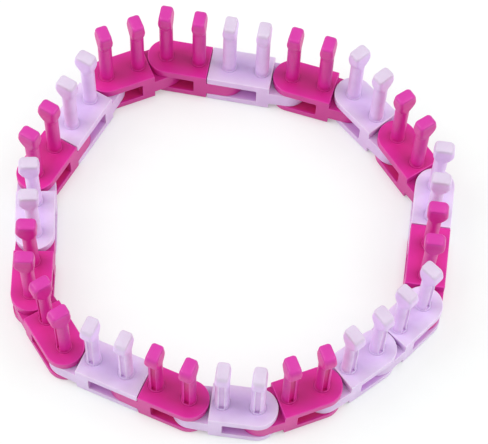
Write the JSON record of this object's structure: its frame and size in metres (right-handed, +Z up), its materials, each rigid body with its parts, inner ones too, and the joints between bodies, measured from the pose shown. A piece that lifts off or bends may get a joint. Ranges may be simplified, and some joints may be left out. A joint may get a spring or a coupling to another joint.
{
  "type": "knitting loom",
  "caption": "Flexible knitting loom: a closed ring of hinged plastic links with upright headed pegs that hold the yarn loops.",
  "frame": {"origin": "centre of the ring's outer rectangle, on the surface that it stands on", "axes": "+Z up along the pegs, +X to the right and +Y to the back of the ring as it lies in the picture"},
  "size_m": [0.212, 0.203, 0.0586],
  "materials": {
    "magenta_plastic": "moulded, satin",
    "lilac_plastic": "moulded, satin, slightly translucent"
  },
  "bodies": {
    "links_01_02": {"link_01": "magenta_plastic", "hinge_pin_01": "magenta_plastic", "link_02": "lilac_plastic", "hinge_pin_02": "lilac_plastic"},
    "link_03": {"link_03": "magenta_plastic", "hinge_pin_03": "magenta_plastic"},
    "link_04": {"link_04": "lilac_plastic", "hinge_pin_04": "lilac_plastic"},
    "link_05": {"link_05": "magenta_plastic", "hinge_pin_05": "magenta_plastic"},
    "links_06_07": {"link_06": "lilac_plastic", "hinge_pin_06": "lilac_plastic", "link_07": "magenta_plastic", "hinge_pin_07": "magenta_plastic"},
    "link_08": {"link_08": "lilac_plastic", "hinge_pin_08": "lilac_plastic"},
    "link_09": {"link_09": "lilac_plastic", "hinge_pin_09": "lilac_plastic"},
    "link_10": {"link_10": "magenta_plastic", "hinge_pin_10": "magenta_plastic"},
    "link_11": {"link_11": "lilac_plastic", "hinge_pin_11": "lilac_plastic"},
    "links_12_13": {"link_12": "magenta_plastic", "hinge_pin_12": "magenta_plastic", "link_13": "lilac_plastic", "hinge_pin_13": "lilac_plastic"},
    "link_14": {"link_14": "magenta_plastic", "hinge_pin_14": "magenta_plastic"},
    "link_15": {"link_15": "magenta_plastic", "hinge_pin_15": "magenta_plastic"},
    "link_16": {"link_16": "lilac_plastic", "hinge_pin_16": "lilac_plastic"},
    "links_17_18": {"link_17": "magenta_plastic", "hinge_pin_17": "magenta_plastic", "link_18": "lilac_plastic", "hinge_pin_18": "lilac_plastic"},
    "link_19": {"link_19": "magenta_plastic", "hinge_pin_19": "magenta_plastic"}
  },
  "joints": [
    {"name": "hinge_12", "type": "hinge", "parent": "link_11", "child": "links_12_13", "pos_m": [-0.01602, -0.08946, 0.0093], "axis": [0, 0, 1], "range_deg": [-30, 30]},
    {"name": "hinge_11", "type": "hinge", "parent": "link_11", "child": "link_10", "pos_m": [0.01563, -0.09206, 0.0093], "axis": [0, 0, 1], "range_deg": [-8.5, 8.5]},
    {"name": "hinge_10", "type": "hinge", "parent": "link_10", "child": "link_09", "pos_m": [0.04483, -0.0796, 0.0093], "axis": [0, 0, 1], "range_deg": [-7.5, 7.5]},
    {"name": "hinge_09", "type": "hinge", "parent": "link_09", "child": "link_08", "pos_m": [0.06954, -0.05966, 0.0093], "axis": [0, 0, 1], "range_deg": [-13.1, 13.1]},
    {"name": "hinge_08", "type": "hinge", "parent": "link_08", "child": "links_06_07", "pos_m": [0.09099, -0.03625, 0.0093], "axis": [0, 0, 1], "range_deg": [-21.2, 21.2]},
    {"name": "hinge_06", "type": "hinge", "parent": "links_06_07", "child": "link_05", "pos_m": [0.09652, 0.02701, 0.0093], "axis": [0, 0, 1], "range_deg": [-29.4, 29.4]},
    {"name": "hinge_05", "type": "hinge", "parent": "link_05", "child": "link_04", "pos_m": [0.07786, 0.05269, 0.0093], "axis": [0, 0, 1], "range_deg": [-4.2, 4.2]},
    {"name": "hinge_04", "type": "hinge", "parent": "link_04", "child": "link_03", "pos_m": [0.05605, 0.07576, 0.0093], "axis": [0, 0, 1], "range_deg": [-16.9, 16.9]},
    {"name": "hinge_14", "type": "hinge", "parent": "links_12_13", "child": "link_14", "pos_m": [-0.07526, -0.0666, 0.0093], "axis": [0, 0, 1], "range_deg": [-15.3, 15.3]},
    {"name": "hinge_15", "type": "hinge", "parent": "link_14", "child": "link_15", "pos_m": [-0.0932, -0.0404, 0.0093], "axis": [0, 0, 1], "range_deg": [-25.5, 25.5]},
    {"name": "hinge_16", "type": "hinge", "parent": "link_15", "child": "link_16", "pos_m": [-0.09425, -0.00867, 0.0093], "axis": [0, 0, 1], "range_deg": [-5.9, 5.9]},
    {"name": "hinge_17", "type": "hinge", "parent": "link_16", "child": "links_17_18", "pos_m": [-0.09657, 0.023, 0.0093], "axis": [0, 0, 1], "range_deg": [-16.8, 16.8]},
    {"name": "hinge_19", "type": "hinge", "parent": "links_17_18", "child": "link_19", "pos_m": [-0.06652, 0.07894, 0.0093], "axis": [0, 0, 1], "range_deg": [-7.7, 7.7]},
    {"name": "hinge_01", "type": "hinge", "parent": "link_19", "child": "links_01_02", "pos_m": [-0.03763, 0.09211, 0.0093], "axis": [0, 0, 1], "range_deg": [-20.7, 20.7]}
  ],
  "couplings": [
    {"joint": "hinge_11", "follows": "hinge_12", "ratio": 0.2778},
    {"joint": "hinge_10", "follows": "hinge_12", "ratio": -0.2452},
    {"joint": "hinge_09", "follows": "hinge_12", "ratio": -0.4328},
    {"joint": "hinge_08", "follows": "hinge_12", "ratio": 0.7012},
    {"joint": "hinge_06", "follows": "hinge_12", "ratio": 0.9738},
    {"joint": "hinge_05", "follows": "hinge_12", "ratio": 0.1346},
    {"joint": "hinge_04", "follows": "hinge_12", "ratio": -0.5579},
    {"joint": "hinge_14", "follows": "hinge_12", "ratio": 0.5036},
    {"joint": "hinge_15", "follows": "hinge_12", "ratio": -0.8437},
    {"joint": "hinge_16", "follows": "hinge_12", "ratio": -0.1909},
    {"joint": "hinge_17", "follows": "hinge_12", "ratio": -0.5556},
    {"joint": "hinge_19", "follows": "hinge_12", "ratio": -0.2528},
    {"joint": "hinge_01", "follows": "hinge_12", "ratio": 0.6841}
  ]
}
